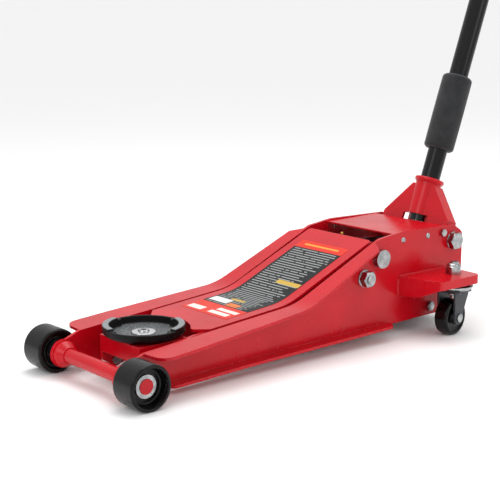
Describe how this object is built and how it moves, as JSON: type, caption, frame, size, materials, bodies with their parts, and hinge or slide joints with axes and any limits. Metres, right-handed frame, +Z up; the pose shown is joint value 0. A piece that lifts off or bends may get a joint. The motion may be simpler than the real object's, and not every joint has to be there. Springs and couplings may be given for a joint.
{
  "type": "floor jack",
  "caption": "Low-profile hydraulic trolley jack with a lift arm, a turning saddle, swivel casters and a pump handle in a hinged yoke.",
  "frame": {"origin": "on the ground, under the middle of the whole jack's box", "axes": "+X towards the saddle end, +Y to the left, +Z up"},
  "size_m": [1.1778, 0.368, 1.149],
  "materials": {
    "red_enamel": "gloss baked enamel",
    "dark_red_enamel": "gloss baked enamel",
    "bright_zinc": "zinc plated",
    "black_nylon": "moulded, semi gloss",
    "cast_saddle": "black painted casting",
    "block_casting": "painted casting",
    "ground_steel": "ground and hard chromed",
    "black_enamel": "gloss powder coat",
    "grey_fork": "grey coat",
    "foam": "matt foam",
    "rubber_grip": "matt rubber",
    "brass": "turned",
    "spring_steel": "drawn wire"
  },
  "bodies": {
    "frame": {"left_side_plate": "red_enamel", "right_side_plate": "red_enamel", "front_axle": "red_enamel", "axle_bosses": "red_enamel", "axle_washers": "bright_zinc", "rear_cover": "red_enamel", "cover_screws": "bright_zinc", "cover_bolts": "bright_zinc", "left_caster_bracket": "red_enamel", "right_caster_bracket": "red_enamel", "caster_kingpins": "bright_zinc", "caster_nuts": "bright_zinc", "caster_races": "bright_zinc", "arm_pivot_shaft": "bright_zinc", "anchor_bolts": "bright_zinc", "anchor_nuts": "bright_zinc", "pump_block": "block_casting", "hydraulic_cylinder": "spring_steel", "oil_reservoir": "dark_red_enamel", "gland_nut": "spring_steel", "filler_plug": "rubber_grip", "return_springs": "spring_steel", "unit_bolts": "bright_zinc", "yoke_pivot_bolts": "bright_zinc", "plunger_springs": "spring_steel"},
    "lift_arm": {"left_arm_plate": "red_enamel", "right_arm_plate": "red_enamel", "arm_top_plate": "red_enamel", "arm_ribs": "red_enamel", "pivot_sleeve": "red_enamel", "ram_levers": "dark_red_enamel", "ram_pin": "bright_zinc", "grease_nipple": "brass"},
    "saddle_carrier": {"saddle_bracket": "red_enamel", "saddle_pin": "bright_zinc", "tie_rod_pins": "bright_zinc", "saddle_washer": "bright_zinc", "saddle_screw": "bright_zinc"},
    "saddle_cup": {"saddle": "cast_saddle"},
    "left_rod": {"left_tie_rod": "dark_red_enamel"},
    "right_rod": {"right_tie_rod": "dark_red_enamel"},
    "ram": {"hydraulic_ram": "ground_steel"},
    "plungers": {"pump_plungers": "ground_steel"},
    "valve": {"release_valve": "brass"},
    "yoke": {"handle_yoke": "red_enamel", "push_pins": "bright_zinc", "handle_lock_bolt": "bright_zinc"},
    "handle": {"handle_lower_tube": "black_enamel", "handle_upper_tube": "black_enamel", "handle_bumper": "foam", "handle_grip": "rubber_grip", "release_driver": "bright_zinc"},
    "left_wheel": {"left_front_wheel": "black_nylon"},
    "right_wheel": {"right_front_wheel": "black_nylon"},
    "left_caster": {"left_caster_fork": "grey_fork", "left_caster_axle": "bright_zinc"},
    "right_caster": {"right_caster_fork": "grey_fork", "right_caster_axle": "bright_zinc"},
    "left_caster_roller": {"left_caster_wheel": "black_nylon"},
    "right_caster_roller": {"right_caster_wheel": "black_nylon"}
  },
  "joints": [
    {"name": "lift", "type": "hinge", "parent": "frame", "child": "lift_arm", "pos_m": [-0.00508, 0, 0.155], "axis": [0, -1, 0], "range_deg": [0, 50]},
    {"name": "saddle_level", "type": "hinge", "parent": "lift_arm", "child": "saddle_carrier", "pos_m": [0.43492, 0, 0.054], "axis": [0, -1, 0], "range_deg": [-50, 0]},
    {"name": "saddle_turn", "type": "hinge", "parent": "saddle_carrier", "child": "saddle_cup", "pos_m": [0.45192, 0, 0.07], "axis": [0, 0, 1], "continuous": true},
    {"name": "left_tie_swing", "type": "hinge", "parent": "frame", "child": "left_rod", "pos_m": [0.03292, 0.063, 0.1235], "axis": [0, -1, 0], "range_deg": [0, 50]},
    {"name": "right_tie_swing", "type": "hinge", "parent": "frame", "child": "right_rod", "pos_m": [0.03292, -0.063, 0.1235], "axis": [0, -1, 0], "range_deg": [0, 50]},
    {"name": "ram_slide", "type": "slide", "parent": "frame", "child": "ram", "axis": [1, 0, 0], "range_m": [0, 0.0677], "deforming": ["return_springs"]},
    {"name": "yoke_pump", "type": "hinge", "parent": "frame", "child": "yoke", "pos_m": [-0.20508, 0, 0.164], "axis": [0, -1, 0], "range_deg": [-8, 58]},
    {"name": "plunger_slide", "type": "slide", "parent": "frame", "child": "plungers", "axis": [1, 0, 0], "range_m": [-0.0036, 0.0251], "deforming": ["plunger_springs"]},
    {"name": "handle_twist", "type": "hinge", "parent": "yoke", "child": "handle", "pos_m": [-0.20508, 0, 0.164], "axis": [-0.3502, 0, 0.9367], "range_deg": [0, 90]},
    {"name": "valve_turn", "type": "hinge", "parent": "frame", "child": "valve", "pos_m": [-0.20508, 0, 0.13], "axis": [0, 0, 1], "range_deg": [0, 90]},
    {"name": "left_wheel_roll", "type": "hinge", "parent": "frame", "child": "left_wheel", "pos_m": [0.55092, 0.1345, 0.038], "axis": [0, 1, 0], "continuous": true},
    {"name": "right_wheel_roll", "type": "hinge", "parent": "frame", "child": "right_wheel", "pos_m": [0.55092, -0.1345, 0.038], "axis": [0, 1, 0], "continuous": true},
    {"name": "left_caster_swivel", "type": "hinge", "parent": "frame", "child": "left_caster", "pos_m": [-0.15408, 0.147, 0.09], "axis": [0, 0, 1], "continuous": true},
    {"name": "left_caster_roll", "type": "hinge", "parent": "left_caster", "child": "left_caster_roller", "pos_m": [-0.14418, 0.14839, 0.034], "axis": [-0.1392, 0.9903, 0], "continuous": true},
    {"name": "right_caster_swivel", "type": "hinge", "parent": "frame", "child": "right_caster", "pos_m": [-0.15408, -0.147, 0.09], "axis": [0, 0, 1], "continuous": true},
    {"name": "right_caster_roll", "type": "hinge", "parent": "right_caster", "child": "right_caster_roller", "pos_m": [-0.14418, -0.14839, 0.034], "axis": [0.1392, 0.9903, 0], "continuous": true}
  ],
  "couplings": [
    {"joint": "saddle_level", "follows": "lift", "ratio": -1},
    {"joint": "left_tie_swing", "follows": "lift", "ratio": 1},
    {"joint": "right_tie_swing", "follows": "lift", "ratio": 1},
    {"joint": "ram_slide", "follows": "lift", "m_per_rad": 0.07749},
    {"joint": "plunger_slide", "follows": "yoke_pump", "m_per_rad": 0.02459},
    {"joint": "valve_turn", "follows": "handle_twist", "ratio": 1}
  ]
}
